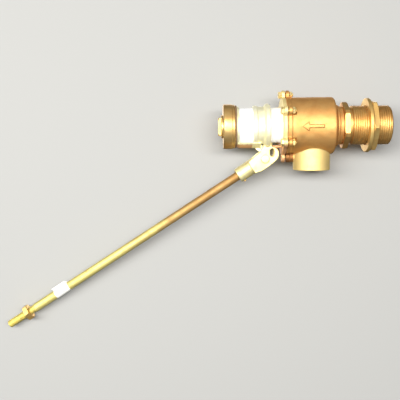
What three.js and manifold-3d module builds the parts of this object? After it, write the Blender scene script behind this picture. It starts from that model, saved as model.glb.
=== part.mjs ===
// Piston-type float valve, drawn in millimetres.
// +X runs along the inlet pipe towards its open end, +Z is up, the outlet points down
// and the float arm swings in the XZ plane. The origin is on the inlet axis, where the
// full inlet thread begins, just outside the hexagon.
import * as THREE from 'three';
import Module from 'manifold-3d';
import { mergeVertices } from 'three/addons/utils/BufferGeometryUtils.js';

// ---- driving dimensions -------------------------------------------------
const GAP = 0.2; // clearance between pieces that touch in the real valve

const TAIL_R = 20.95; // outside of the inlet thread
const TAIL_END_X = 41;
const TAIL_BORE_R = 15.5;
const TAIL_HEX_X = [-10.2, -4.4];
const TAIL_HEX_AF = 45.3;
const TAIL_HEX_CORNER_R = 25; // the bar's round, left between the flats
const TAIL_HEX_CORNER_DEG = 37;
const TAIL_SPIGOT_R = 17;
const TAIL_SPIGOT_X = -19.5;

const BACKNUT_X = [15.1, 24.9];
const BACKNUT_FLANGE_R = 29;
const BACKNUT_FLANGE_THICK = 5;
const BACKNUT_AF = 50.5;
const BACKNUT_CORNER_DEG = -5;

const BARREL_R = 30.5;
const BARREL_X = [-66.6, -19.2];
const CHAMBER_R = 25;
const CHAMBER_X = -26.5;
const NECK_R = 20.5;
const NECK_RIB_X = [-17.9, -14.3];
const NECK_END_X = TAIL_HEX_X[0] - GAP;
const OUTLET_X = -42.1;
const OUTLET_R = 19.8;
const OUTLET_BORE_R = 15.8;
const OUTLET_Z = -47.4;

const FLANGE_X = [-75, -70.6, -66.6]; // cage flange face, joint, body flange back face
const GASKET_X = [-71.2, -70.58];
const GASKET_R = [25.2, 30.3];
const FLANGE_R = 31;
const EAR_R = 4.9;
const BOLT_PCD_R = 33;
const BOLT_R = 2.35;
const BOLT_AF = 7;
const SINK_R = 4.2; // countersunk head of the lowest screw
const BOLT_HEAD = 3.2;
const NUT_THICK = 2.6;
const BOLT_TIP_X = -62.4;
const POCKET_X = -62;
const BLIND_TIP_X = -62.8; // tip of the lowest screw, which is tapped into the body
const LOWER_EAR_Z = -33.6;

const PISTON_R = 19.9;
const PISTON_X = [-133.6, -64.5];
const PISTON_FLAT_Z = -17.4;
const SEAL_X = [-132.4, -73.4];
const GUIDE_R = 20.25;
const SEAT_R = 10;
const SEAT_LIP_X = -33;

const CAP_X = [-138.3, -124.3];
const CAP_R = 24;
const CAP_BORE_R = 22.2;
const CAGE_END_X = -134;
const BAND_X = [-105.8, -87.8];

const ROD_DEG = 32.59; // arm droop below the inlet axis with the valve wide open
const PIVOT = [-93, -34.66];
const HEEL = [-89.4, -14];
const HEEL_R = 5.3;
const HEEL_NECK = 4.7;
const SLOT_HALF = 6;
const CHEEK_Y = [5.2, 8.6];
const LUG_Y = 4.4;
const PIN_R = 3;
const ROD_R = 4.75;
const ROD_START = 15.5;
const ROD_SHOULDER = 302.5;
const ROD_TIP = 338;
const ROD_THREAD_R = 4.3;
const SOCKET_R = 8;
const SOCKET_END = 34.5;
const LOCKNUT_S = [309.5, 315.5];
const LABEL_S = [257.5, 275];

// ---- materials ----------------------------------------------------------
const COLOURS = {
  bronze: [0xb8763a, 0.45, 0.9],
  brass: [0xc9974b, 0.4, 0.9],
  pale_brass: [0xe6d9a6, 0.35, 0.85],
  rod_brass: [0xbfa14c, 0.35, 0.9],
  acetal: [0xf7f7f5, 0.45, 0.0],
  rubber: [0x1c1a19, 0.8, 0.0],
  fibre: [0x6b4a34, 0.85, 0.0],
  paper: [0xf2f1ec, 0.7, 0.0],
  steel: [0xa9a69c, 0.4, 0.95],
};

// ---- scene graph --------------------------------------------------------
const group = new THREE.Group();
const fulcrum = new THREE.Group(); // stands on the lever's pivot
fulcrum.position.set(PIVOT[0], 0, PIVOT[1]);
group.add(fulcrum);
const arm = new THREE.Group(); // its +X runs from the pivot along the float arm
arm.rotation.y = Math.PI - THREE.MathUtils.degToRad(ROD_DEG);
fulcrum.add(arm);

function place(name, geometry, colour, parent = group) {
  const [hex, roughness, metalness] = COLOURS[colour];
  const material = new THREE.MeshStandardMaterial({ color: hex, roughness, metalness });
  const mesh = new THREE.Mesh(geometry, material);
  mesh.name = name;
  parent.add(mesh);
  return mesh;
}

// ---- solid helpers ------------------------------------------------------
const wasm = await Module();
wasm.setup();

function solid(geometry) {
  const bare = geometry.clone();
  bare.deleteAttribute('normal');
  bare.deleteAttribute('uv');
  const merged = mergeVertices(bare, 1e-4);
  const index = merged.index.array;
  const kept = [];
  for (let i = 0; i < index.length; i += 3) {
    const [a, b, c] = [index[i], index[i + 1], index[i + 2]];
    if (a !== b && b !== c && c !== a) {
      kept.push(a, b, c);
    }
  }
  const vertProperties = new Float32Array(merged.attributes.position.array);
  const triVerts = new Uint32Array(kept);
  return new wasm.Manifold(new wasm.Mesh({ numProp: 3, vertProperties, triVerts }));
}

function geometryOf(manifold) {
  const mesh = manifold.getMesh();
  const geometry = new THREE.BufferGeometry();
  geometry.setAttribute('position', new THREE.BufferAttribute(mesh.vertProperties, 3));
  geometry.setIndex(new THREE.BufferAttribute(mesh.triVerts, 1));
  const flat = geometry.toNonIndexed();
  flat.computeVertexNormals();
  return flat;
}

// Turns a closed outline of [x, radius] points about the X axis.
function turned(outline, segments = 36) {
  let area = 0;
  for (let i = 0; i < outline.length; i += 1) {
    const [x0, r0] = outline[i];
    const [x1, r1] = outline[(i + 1) % outline.length];
    area += r0 * x1 - r1 * x0;
  }
  const ordered = area > 0 ? [...outline] : [...outline].reverse();
  const axisAt = ordered.findIndex(([, r], i) => r === 0
    && ordered[(i + ordered.length - 1) % ordered.length][1] === 0);
  if (axisAt >= 0) {
    ordered.push(...ordered.splice(0, axisAt));
  } else {
    ordered.push(ordered[0]);
  }
  const points = ordered.map(([x, r]) => new THREE.Vector2(r, x));
  const geometry = new THREE.LatheGeometry(points, segments);
  geometry.rotateZ(-Math.PI / 2);
  return geometry;
}

function rod(r, x0, x1, segments = 24) {
  return turned([[x0, 0], [x0, r], [x1, r], [x1, 0]], segments);
}

function box(x, y, z) {
  const geometry = new THREE.BoxGeometry(x[1] - x[0], y[1] - y[0], z[1] - z[0]);
  geometry.translate((x[0] + x[1]) / 2, (y[0] + y[1]) / 2, (z[0] + z[1]) / 2);
  return geometry;
}

// A plate cut from an XZ outline, between two Y values.
function plate(outline, y, holes = []) {
  const shape = new THREE.Shape(outline.map(([x, z]) => new THREE.Vector2(x, z)));
  for (const hole of holes) {
    shape.holes.push(new THREE.Path(hole.map(([x, z]) => new THREE.Vector2(x, z))));
  }
  const geometry = new THREE.ExtrudeGeometry(shape, {
    depth: y[1] - y[0],
    bevelEnabled: false,
  });
  geometry.rotateX(Math.PI / 2);
  geometry.translate(0, y[1], 0);
  return geometry;
}

// Points of an arc in the XZ plane, degrees counted from +X towards +Z.
function arc(cx, cz, r, from, to, steps) {
  const points = [];
  for (let i = 0; i <= steps; i += 1) {
    const t = ((from + ((to - from) * i) / steps) * Math.PI) / 180;
    points.push([cx + r * Math.cos(t), cz + r * Math.sin(t)]);
  }
  return points;
}

// A vertical cylinder between two heights.
function upright(r, z0, z1, x, segments) {
  const geometry = new THREE.CylinderGeometry(r, r, z1 - z0, segments);
  geometry.rotateX(Math.PI / 2);
  geometry.translate(x, 0, (z0 + z1) / 2);
  return geometry;
}

// A hexagonal or square bar along X with its first corner at cornerDeg from -Y.
function polygonBar(sides, acrossFlats, x0, x1, cornerDeg = 0) {
  const r = acrossFlats / 2 / Math.cos(Math.PI / sides);
  const geometry = turned([[x0, 0], [x0, r], [x1, r], [x1, 0]], sides);
  geometry.rotateX((cornerDeg * Math.PI) / 180);
  return geometry;
}

function chamferedHex(acrossFlats, x0, x1, cornerDeg, chamfer, cornerR = Infinity) {
  const r = Math.min(acrossFlats / 2 / Math.cos(Math.PI / 6), cornerR);
  const envelope = turned([
    [x0, 0], [x0, r - chamfer], [x0 + chamfer * 0.6, r + 0.05],
    [x1 - chamfer * 0.6, r + 0.05], [x1, r - chamfer], [x1, 0],
  ], 24);
  return solid(polygonBar(6, acrossFlats, x0, x1, cornerDeg)).intersect(solid(envelope));
}

// ---- inlet tail and backnut ---------------------------------------------
let tail = solid(turned([
  [TAIL_SPIGOT_X, TAIL_BORE_R], [TAIL_SPIGOT_X, TAIL_SPIGOT_R],
  [TAIL_HEX_X[0] + 1, TAIL_SPIGOT_R], [TAIL_HEX_X[0] + 1, TAIL_R - 1.6],
  [-1.2, TAIL_R - 1.6], [0, TAIL_R], [TAIL_END_X - 1.6, TAIL_R],
  [TAIL_END_X, TAIL_R - 1.6], [TAIL_END_X, TAIL_BORE_R],
]));
const tailHex = chamferedHex(
  TAIL_HEX_AF, TAIL_HEX_X[0], TAIL_HEX_X[1], TAIL_HEX_CORNER_DEG, 1.6, TAIL_HEX_CORNER_R,
);
tail = tail.add(tailHex.subtract(solid(rod(TAIL_R - 2, TAIL_HEX_X[0] - 1, 0, 36))));
place('inlet_tail', geometryOf(tail), 'bronze');

const nutHexX = BACKNUT_X[0] + BACKNUT_FLANGE_THICK;
let backnut = chamferedHex(BACKNUT_AF, nutHexX - 0.5, BACKNUT_X[1], BACKNUT_CORNER_DEG, 1.6);
backnut = backnut.add(solid(turned([
  [BACKNUT_X[0], 0], [BACKNUT_X[0], BACKNUT_FLANGE_R - 0.8],
  [BACKNUT_X[0] + 0.8, BACKNUT_FLANGE_R], [nutHexX - 2.2, BACKNUT_FLANGE_R],
  [nutHexX, BACKNUT_FLANGE_R - 3.4], [nutHexX, 0],
])));
backnut = backnut.subtract(solid(rod(TAIL_R + GAP, 0, 60, 36)));
place('backnut', geometryOf(backnut), 'brass');

// ---- valve body ---------------------------------------------------------
const boltAngles = [90, 30, -30, -90, -150, 150]; // degrees from -Y towards +Z
const spots = ['top', 'upper_front', 'lower_front', 'bottom', 'lower_back', 'upper_back'];
const BLIND = 3; // the lowest screw is tapped into the body instead of taking a nut

function boltCentre(i) {
  const t = (boltAngles[i] * Math.PI) / 180;
  return [-BOLT_PCD_R * Math.cos(t), BOLT_PCD_R * Math.sin(t)];
}

function moved(geometry, y, z) {
  geometry.translate(0, y, z);
  return geometry;
}

function flangeDisc(x0, x1) {
  let disc = solid(rod(FLANGE_R, x0, x1, 42));
  for (let i = 0; i < 6; i += 1) {
    const [y, z] = boltCentre(i);
    disc = disc.add(solid(moved(rod(EAR_R, x0, x1, 16), y, z)));
  }
  return disc.add(solid(moved(rod(EAR_R + 0.4, x0, x1, 16), 0, LOWER_EAR_Z)));
}

let body = flangeDisc(FLANGE_X[1] + GAP, FLANGE_X[2]);
body = body.add(solid(turned([
  [BARREL_X[0] - 2, 0], [BARREL_X[0] - 2, BARREL_R], [BARREL_X[1] - 3, BARREL_R],
  [BARREL_X[1] - 1.5, BARREL_R - 0.4], [BARREL_X[1] - 0.4, BARREL_R - 1.5],
  [BARREL_X[1], BARREL_R - 3], [BARREL_X[1], NECK_R],
  [NECK_RIB_X[0], NECK_R], [NECK_RIB_X[0] + 0.7, NECK_R + 1.6],
  [NECK_RIB_X[1] - 0.7, NECK_R + 1.6], [NECK_RIB_X[1], NECK_R],
  [NECK_END_X, NECK_R], [NECK_END_X, 0],
], 42)));
body = body.add(solid(upright(OUTLET_R, OUTLET_Z, 0, OUTLET_X, 36)));
// Tapped boss for the lowest flange screw, running into the outlet.
body = body.add(solid(moved(rod(EAR_R + 0.4, -68, -58, 16), 0, LOWER_EAR_Z)));
// Raised flow arrow on the near side, pointing from inlet to outlet side.
body = body.add(solid(plate(
  [[-56, 0], [-49, 5], [-49, 1.6], [-33.5, 1.6], [-33.5, -1.6], [-49, -1.6], [-49, -5]],
  [-BARREL_R - 0.6, -BARREL_R + 2],
)));
body = body.subtract(solid(rod(CHAMBER_R, -80, CHAMBER_X, 36)));
body = body.subtract(solid(rod(TAIL_SPIGOT_R + GAP, -20, 0, 36)));
body = body.subtract(solid(rod(12.2, -30, 0, 30)));
body = body.subtract(solid(upright(OUTLET_BORE_R, OUTLET_Z - 1, -10, OUTLET_X, 30)));
for (let i = 0; i < 6; i += 1) {
  const [y, z] = boltCentre(i);
  const holeEndX = i === BLIND ? BLIND_TIP_X + 0.5 : -64;
  body = body.subtract(solid(moved(rod(BOLT_R + GAP, -74, holeEndX, 12), y, z)));
  if (i !== BLIND) {
    body = body.subtract(solid(moved(rod(4.45, FLANGE_X[2], POCKET_X, 14), y, z)));
  }
}
place('body', geometryOf(body), 'bronze');

// ---- seat ---------------------------------------------------------------
place('seat_ring', turned([
  [-20.2, SEAT_R], [SEAT_LIP_X, SEAT_R], [SEAT_LIP_X, SEAT_R + 1.2], [-30.5, SEAT_R + 3.2],
  [-30.5, 16.5], [CHAMBER_X - GAP, 16.5], [CHAMBER_X - GAP, 12], [-20.2, 12],
], 30), 'brass');

// ---- flange joint -------------------------------------------------------
place('flange_gasket', turned([
  [GASKET_X[0], GASKET_R[0]], [GASKET_X[0], GASKET_R[1]],
  [GASKET_X[1], GASKET_R[1]], [GASKET_X[1], GASKET_R[0]],
], 36), 'fibre');

function screwGeometry() {
  const headX = FLANGE_X[0] - GAP;
  const tip = BOLT_TIP_X;
  const shank = solid(turned([
    [headX - 1, 0], [headX - 1, BOLT_R], [tip - 0.6, BOLT_R], [tip, BOLT_R - 0.6], [tip, 0],
  ], 12));
  return geometryOf(shank.add(solid(polygonBar(6, BOLT_AF, headX - BOLT_HEAD, headX))));
}

// The lowest screw has a slotted countersunk head that lies flush in the cage flange.
function blindScrewGeometry() {
  const faceX = FLANGE_X[0] + 0.1;
  const tip = BLIND_TIP_X;
  const shank = solid(turned([
    [faceX, 0], [faceX, SINK_R], [faceX + SINK_R - BOLT_R, BOLT_R], [tip - 0.6, BOLT_R],
    [tip, BOLT_R - 0.6], [tip, 0],
  ], 20));
  return geometryOf(shank.subtract(solid(box([faceX - 1, faceX + 0.8], [-5, 5], [-0.4, 0.4]))));
}

const nutX = FLANGE_X[2] + GAP;
const nutHex = solid(polygonBar(6, BOLT_AF, nutX, nutX + NUT_THICK));
const nutGeometry = geometryOf(nutHex.subtract(solid(rod(BOLT_R + 0.15, nutX - 1, nutX + 5, 12))));
const longScrew = screwGeometry();
const shortScrew = blindScrewGeometry();
spots.forEach((spot, i) => {
  const [y, z] = boltCentre(i);
  const screw = i === BLIND ? shortScrew : longScrew;
  place(`flange_screw_${spot}`, screw, 'brass').position.set(0, y, z);
  if (i !== BLIND) {
    place(`flange_nut_${spot}`, nutGeometry, 'brass').position.set(0, y, z);
  }
});

// ---- cage ---------------------------------------------------------------
let cage = flangeDisc(FLANGE_X[0], GASKET_X[0] - 0.2);
// Spigot that centres the cage in the body.
cage = cage.add(solid(turned([
  [FLANGE_X[1] - 2, 0], [FLANGE_X[1] - 2, CHAMBER_R - 0.2],
  [-58.5, CHAMBER_R - 0.2], [-58.5, 0],
], 36)));
// Middle guide band with its two beads.
cage = cage.add(solid(turned([
  [BAND_X[0], 0], [BAND_X[0], 21.6], [BAND_X[0] + 0.8, 22.2], [BAND_X[0] + 3.9, 22.2],
  [BAND_X[0] + 4.9, 21.2], [BAND_X[1] - 6.6, 21.1], [BAND_X[1] - 5.4, 22.8],
  [BAND_X[1] - 4.4, 24], [BAND_X[1] - 1, 24], [BAND_X[1], 23.2], [BAND_X[1], 0],
], 40)));
// Rear ring that the end cap screws onto.
cage = cage.add(solid(turned([
  [CAGE_END_X, 0], [CAGE_END_X, 21.9], [-121.2, 21.9], [-121.2, 0],
], 40)));
// Trough that joins the rear ring to the band under the piston.
const trough = solid(rod(23.3, -121.8, -97.5, 40));
cage = cage.add(trough.intersect(solid(box([-130, -80], [-30, 30], [-40, PISTON_FLAT_Z]))));
cage = cage.subtract(solid(rod(GUIDE_R, -140, -50, 40)));
// Bridge and lug between the cheeks of the lever.
cage = cage.add(solid(box([-99, FLANGE_X[0] + 0.5], [-LUG_Y, LUG_Y], [-23, -20.4])));
cage = cage.add(solid(plate([
  [-104.2, -21], [-102.6, -24.8], [-99.2, -27], [-98.2, -31],
  ...arc(PIVOT[0], PIVOT[1], 5, 170, 370, 12),
  [-88.2, -30], [-88.4, -24], [-86, -21.5], [-86, -20.6],
], [-LUG_Y, LUG_Y])));
for (const side of [-1, 1]) {
  const y = side < 0 ? [-9.6, -LUG_Y] : [LUG_Y, 9.6];
  cage = cage.subtract(solid(box([-97.4, FLANGE_X[0] - 0.6], y, [-40, -16])));
}
const pinBore = new THREE.CylinderGeometry(PIN_R + 0.06, PIN_R + 0.06, 30, 24);
pinBore.translate(PIVOT[0], 0, PIVOT[1]);
cage = cage.subtract(solid(pinBore));
for (let i = 0; i < 6; i += 1) {
  const [y, z] = boltCentre(i);
  cage = cage.subtract(solid(moved(rod(BOLT_R + GAP, -80, -60, 12), y, z)));
}
// Countersink of the lowest screw, with its cone run on past the flange face.
const sinkOver = 1.5;
const sinkX = FLANGE_X[0] + 0.1 - sinkOver;
const sinkEndX = sinkX + SINK_R + sinkOver - BOLT_R;
const sink = turned([
  [sinkX, 0], [sinkX, SINK_R + sinkOver + GAP], [sinkEndX, BOLT_R + GAP], [sinkEndX, 0],
], 20);
cage = cage.subtract(solid(moved(sink, ...boltCentre(BLIND))));
place('cage', geometryOf(cage), 'pale_brass');

// ---- end cap ------------------------------------------------------------
let cap = solid(turned([
  [CAP_X[0], 0], [CAP_X[0], CAP_R - 1.2], [CAP_X[0] + 1.2, CAP_R], [CAP_X[1] - 3.4, CAP_R],
  [CAP_X[1] - 2.8, CAP_R - 0.5], [CAP_X[1] - 0.7, CAP_R - 0.5],
  [CAP_X[1], CAP_R - 1], [CAP_X[1], CAP_BORE_R], [CAGE_END_X - 0.4, CAP_BORE_R],
  [CAGE_END_X - 0.4, 0],
], 44));
cap = cap.add(solid(polygonBar(4, 19.4, CAP_X[0] - 4.6, CAP_X[0] + 0.5, 45)));
cap = cap.add(solid(rod(12.4, CAP_X[0] - 1.6, CAP_X[0] + 0.5, 24)));
place('end_cap', geometryOf(cap), 'bronze');
place('cap_washer', turned([
  [CAP_X[1] + 0.2, 22.1], [CAP_X[1] + 0.2, 22.9], [-121.9, 22.9], [-121.9, 22.1],
], 36), 'rubber');

// ---- piston -------------------------------------------------------------
let piston = solid(turned([
  [PISTON_X[0], 4], [PISTON_X[0], PISTON_R - 1], [PISTON_X[0] + 1, PISTON_R],
  [-60.5, PISTON_R], [-58, 14.5], [-49, 14.5], [-48, 15.2], [-43.4, 15.2], [-43.4, 4],
], 40));
const flatCut = box([-121, -75], [-30, 30], [-40, PISTON_FLAT_Z]);
piston = piston.subtract(solid(flatCut));
piston = piston.subtract(solid(box(
  [HEEL[0] - SLOT_HALF, HEEL[0] + SLOT_HALF],
  [-9.2, 9.2],
  [-30, HEEL[1] + HEEL_R + 0.9],
)));
// Grooves for the two cup seals.
for (const x of SEAL_X) {
  piston = piston.subtract(solid(turned([
    [x, 17.6], [x, 25], [x + 3, 25], [x + 3, 17.6],
  ], 36)));
}
place('piston', geometryOf(piston), 'acetal');
for (const [name, x] of [['piston_seal_rear', SEAL_X[0]], ['piston_seal_front', SEAL_X[1]]]) {
  place(name, turned([
    [x + 0.2, 17.8], [x + 0.2, 20], [x + 2.8, 20], [x + 2.8, 17.8],
  ], 36), 'rubber');
}
place('seat_washer', turned([
  [-43.2, 3.4], [-43.2, 14], [-41.4, 14], [-41.4, 3.4],
], 32), 'rubber');
let stud = solid(turned([
  [-56, 0], [-56, 3.2], [-41, 3.2], [-41, 0],
], 20));
stud = stud.add(chamferedHex(13, -41.2, -37.6, 0, 0.8));
place('washer_screw', geometryOf(stud), 'brass');

// ---- lever --------------------------------------------------------------
// A tool shape drawn along the arm, moved to where the arm lies.
function inArm(geometry) {
  fulcrum.updateMatrixWorld(true);
  return solid(geometry.clone().applyMatrix4(arm.matrixWorld));
}

const finger = Math.atan2(HEEL[1] - PIVOT[1], HEEL[0] - PIVOT[0]);
const across = [Math.sin(finger), -Math.cos(finger)];
const fingerDeg = (finger * 180) / Math.PI;
const neckTop = [HEEL[0] - Math.cos(finger) * 2.4, HEEL[1] - Math.sin(finger) * 2.4];
const neckFoot = (HEEL[1] - 6.8 - PIVOT[1]) / Math.sin(finger);
const footX = PIVOT[0] + Math.cos(finger) * neckFoot;
const footZ = PIVOT[1] + Math.sin(finger) * neckFoot;
const cheekOutline = [
  [-98.6, -27.6], [-97.6, -25], [footX - across[0] * HEEL_NECK, footZ - across[1] * HEEL_NECK - 2],
  [neckTop[0] - across[0] * HEEL_NECK, neckTop[1] - across[1] * HEEL_NECK],
  ...arc(HEEL[0], HEEL[1], HEEL_R, fingerDeg + 98, fingerDeg - 98, 12),
  [neckTop[0] + across[0] * HEEL_NECK, neckTop[1] + across[1] * HEEL_NECK],
  [footX + across[0] * HEEL_NECK, footZ + across[1] * HEEL_NECK],
  [-81.8, -22.4], [-79.6, -23.9], [-78.2, -26.4], [-77.9, -29.4], [-78.3, -32.4],
  [-80.4, -36.1], [-84.4, -39.8], [-88.7, -43], [-93, -45.9], [-97.2, -48.5],
  [-100, -49], [-110.5, -53], [-113.5, -40.6], [-111, -38.2], [-103.8, -31.9],
];
const slot = [
  ...arc(-85.4, -26.2, 2.2, 0, 180, 6),
  ...arc(-85.4, -30, 2.4, 180, 360, 6),
];
let knuckle = solid(plate(cheekOutline, [-CHEEK_Y[1], CHEEK_Y[1]], [slot]));
const gapBox = box([-40, 11], [-CHEEK_Y[0], CHEEK_Y[0]], [-40, 40]);
const socketTrim = box([17, 60], [-30, 30], [-30, 30]);
knuckle = knuckle.subtract(inArm(socketTrim));
knuckle = knuckle.add(inArm(turned([
  [11.5, 0], [12.5, SOCKET_R], [SOCKET_END - 1, SOCKET_R], [SOCKET_END, SOCKET_R - 1],
  [SOCKET_END, 0],
], 28)));
knuckle = knuckle.subtract(inArm(gapBox));
knuckle = knuckle.subtract(inArm(rod(ROD_R + 0.15, ROD_START - 0.3, 60, 24)));
const screwBore = new THREE.CylinderGeometry(1.75, 1.75, 12, 14);
screwBore.rotateX(Math.PI / 2);
screwBore.translate(30.5, 0, 8.8);
knuckle = knuckle.subtract(inArm(screwBore));
knuckle = knuckle.subtract(solid(pinBore));
place('lever_knuckle', geometryOf(knuckle), 'pale_brass');

const armRod = turned([
  [ROD_START, 0], [ROD_START, ROD_R - 0.5], [ROD_START + 0.5, ROD_R],
  [ROD_SHOULDER - 0.4, ROD_R], [ROD_SHOULDER, ROD_THREAD_R], [ROD_TIP - 0.9, ROD_THREAD_R],
  [ROD_TIP, ROD_THREAD_R - 0.9], [ROD_TIP, 0],
], 24);
place('lever_rod', armRod, 'rod_brass', arm);

const setScrew = new THREE.CylinderGeometry(1.6, 1.6, 4.2, 14);
setScrew.rotateX(Math.PI / 2);
setScrew.translate(30.5, 0, 4.95 + 2.1);
place('rod_set_screw', setScrew, 'brass', arm);

let locknut = chamferedHex(15.6, LOCKNUT_S[0], LOCKNUT_S[1], 0, 1);
locknut = locknut.subtract(solid(rod(ROD_THREAD_R + 0.15, 300, 330, 24)));
place('rod_locknut', geometryOf(locknut), 'brass', arm);

const labelGeometry = turned([
  [LABEL_S[0], ROD_R + 0.1], [LABEL_S[0], ROD_R + 0.35],
  [LABEL_S[1], ROD_R + 0.35], [LABEL_S[1], ROD_R + 0.1],
], 24);
place('rod_label', labelGeometry, 'paper', arm);

// ---- fulcrum pin --------------------------------------------------------
const pinShape = turned([
  [-11, 0], [-11, 4.1], [-10.4, 4.6], [-8.9, 4.6], [-8.9, PIN_R],
  [12.4, PIN_R], [13, PIN_R - 0.6], [13, 0],
], 24);
pinShape.rotateZ(Math.PI / 2);
const cotterHole = new THREE.CylinderGeometry(0.95, 0.95, 12, 12);
cotterHole.rotateX(Math.PI / 2);
cotterHole.translate(0, 10.8, 0);
place('fulcrum_pin', geometryOf(solid(pinShape).subtract(solid(cotterHole))), 'brass', fulcrum);

const cotter = new THREE.CylinderGeometry(0.75, 0.75, 10.5, 12);
cotter.rotateX(Math.PI / 2);
cotter.translate(0, 10.8, -1.2);
let splitPin = solid(cotter);
const eye = new THREE.TorusGeometry(1.5, 0.6, 8, 16);
eye.rotateY(Math.PI / 2);
eye.translate(0, 10.8, 5.4);
splitPin = splitPin.add(solid(eye));
place('split_pin', geometryOf(splitPin), 'steel', fulcrum);

export default group;
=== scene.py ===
# Looks of the piston float valve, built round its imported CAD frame.
# The shape code works in millimetres; lengths become metres as each mesh is made.
import math

import bmesh
import bpy
import numpy as np
import openvdb
from mathutils import Matrix, Vector


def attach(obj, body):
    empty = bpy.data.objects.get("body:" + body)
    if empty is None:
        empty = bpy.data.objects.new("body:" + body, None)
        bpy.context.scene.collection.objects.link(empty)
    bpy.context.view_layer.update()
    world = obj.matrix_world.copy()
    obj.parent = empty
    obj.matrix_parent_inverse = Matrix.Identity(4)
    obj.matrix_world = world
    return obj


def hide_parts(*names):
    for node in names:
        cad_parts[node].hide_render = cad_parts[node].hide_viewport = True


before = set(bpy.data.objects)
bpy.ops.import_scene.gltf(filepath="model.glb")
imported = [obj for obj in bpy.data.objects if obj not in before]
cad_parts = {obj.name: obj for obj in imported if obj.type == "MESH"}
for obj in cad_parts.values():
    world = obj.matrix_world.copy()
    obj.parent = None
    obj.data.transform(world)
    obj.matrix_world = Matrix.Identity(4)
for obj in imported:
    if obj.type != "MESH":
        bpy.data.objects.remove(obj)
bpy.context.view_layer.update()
MM = 0.001

# ---- dimensions shared with the frame -------------------------------------
TAIL_R = 20.95
PIPE_PITCH = 2.309  # 11 threads to the inch
BARREL_R = 30.5
NECK_R = 20.5
OUTLET_X, OUTLET_R, OUTLET_BORE_R, OUTLET_Z = -42.1, 19.8, 15.8, -47.4
FLANGE_R, EAR_R, BOLT_PCD_R = 31.0, 4.9, 33.0
BOLT_ANGLES = (90, 30, -30, -90, -150, 150)  # from -Y towards +Z
SPOTS = ("top", "upper_front", "lower_front", "bottom", "lower_back", "upper_back")
BLIND = 3  # the lowest screw is tapped into the body and has no nut
BOLT_HOLE_R, LOWER_EAR_R, LOWER_EAR_Z = 2.55, EAR_R + 0.4, -33.6
GUIDE_R, PISTON_R, PISTON_FLAT_Z = 20.25, 19.9, -17.4
SEAL_X = (-132.4, -73.4)
PIVOT, PIN_HOLE_R = (-93.0, -34.66), 3.06
LUG_HALF = 4.4
HEEL, HEEL_R, HEEL_NECK = (-89.4, -14.0), 5.3, 4.7
ROD_DEG = 32.59
ROD_R, ROD_START, ROD_SHOULDER, ROD_TIP, ROD_THREAD_R = 4.75, 15.5, 302.5, 338.0, 4.3
SOCKET_R, SOCKET_END = 8.0, 34.5

BOLTS = [
    (
        -BOLT_PCD_R * math.cos(math.radians(a)),
        BOLT_PCD_R * math.sin(math.radians(a)),
    )
    for a in BOLT_ANGLES
]
ALONG = (-math.cos(math.radians(ROD_DEG)), -math.sin(math.radians(ROD_DEG)))
UNDER = (math.sin(math.radians(ROD_DEG)), -math.cos(math.radians(ROD_DEG)))
ARM = Matrix(
    (
        (ALONG[0], 0, UNDER[0], PIVOT[0] * MM),
        (0, 1, 0, 0),
        (ALONG[1], 0, UNDER[1], PIVOT[1] * MM),
        (0, 0, 0, 1),
    )
)


# ---- materials ------------------------------------------------------------
class Nodes:
    """A material's node tree with short ways to add and join nodes."""

    def __init__(self, name):
        self.material = bpy.data.materials.new(name)
        self.material.use_nodes = True
        self.tree = self.material.node_tree
        self.shader = self.tree.nodes["Principled BSDF"]
        self.coords = self.tree.nodes.new("ShaderNodeTexCoord").outputs["Object"]

    def join(self, source, target):
        if isinstance(source, (int, float, tuple)):
            target.default_value = source
        else:
            self.tree.links.new(source, target)

    def stretched(self, scale, turn=0.0):
        node = self.tree.nodes.new("ShaderNodeMapping")
        node.inputs["Scale"].default_value = scale
        node.inputs["Rotation"].default_value = (0, turn, 0)
        self.join(self.coords, node.inputs["Vector"])
        return node.outputs["Vector"]

    def noise(self, scale, detail=3.0, rough=0.55, vector=None, warp=0.0):
        node = self.tree.nodes.new("ShaderNodeTexNoise")
        node.inputs["Scale"].default_value = scale
        node.inputs["Detail"].default_value = detail
        node.inputs["Roughness"].default_value = rough
        node.inputs["Distortion"].default_value = warp
        self.join(vector or self.coords, node.inputs["Vector"])
        return node.outputs["Fac"]

    def spread(self, value, low, high, to_low=0.0, to_high=1.0, smooth=False):
        node = self.tree.nodes.new("ShaderNodeMapRange")
        if smooth:
            node.interpolation_type = "SMOOTHSTEP"
        for name, number in (
            ("From Min", low),
            ("From Max", high),
            ("To Min", to_low),
            ("To Max", to_high),
        ):
            node.inputs[name].default_value = number
        self.join(value, node.inputs["Value"])
        return node.outputs["Result"]

    def sum(self, a, b, operation="ADD"):
        node = self.tree.nodes.new("ShaderNodeMath")
        node.operation = operation
        self.join(a, node.inputs[0])
        self.join(b, node.inputs[1])
        return node.outputs["Value"]

    def blend(self, factor, a, b, kind="MIX"):
        node = self.tree.nodes.new("ShaderNodeMix")
        node.data_type = "RGBA"
        node.blend_type = kind
        self.join(factor, node.inputs[0])
        self.join(a, node.inputs[6])
        self.join(b, node.inputs[7])
        return node.outputs[2]

    def bump(self, height, distance, strength=1.0, under=None):
        node = self.tree.nodes.new("ShaderNodeBump")
        self.join(strength, node.inputs["Strength"])
        node.inputs["Distance"].default_value = distance
        self.join(height, node.inputs["Height"])
        if under is not None:
            self.join(under, node.inputs["Normal"])
        return node.outputs["Normal"]

    def axis(self, name):
        node = self.tree.nodes.new("ShaderNodeSeparateXYZ")
        self.join(self.coords, node.inputs[0])
        return node.outputs[name]


def colour(r, g, b):
    """An sRGB colour from 0 to 255 as the linear RGBA a socket takes."""
    def linear(c):
        c /= 255
        return c / 12.92 if c <= 0.04045 else ((c + 0.055) / 1.055) ** 2.4

    return (linear(r), linear(g), linear(b), 1.0)


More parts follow.
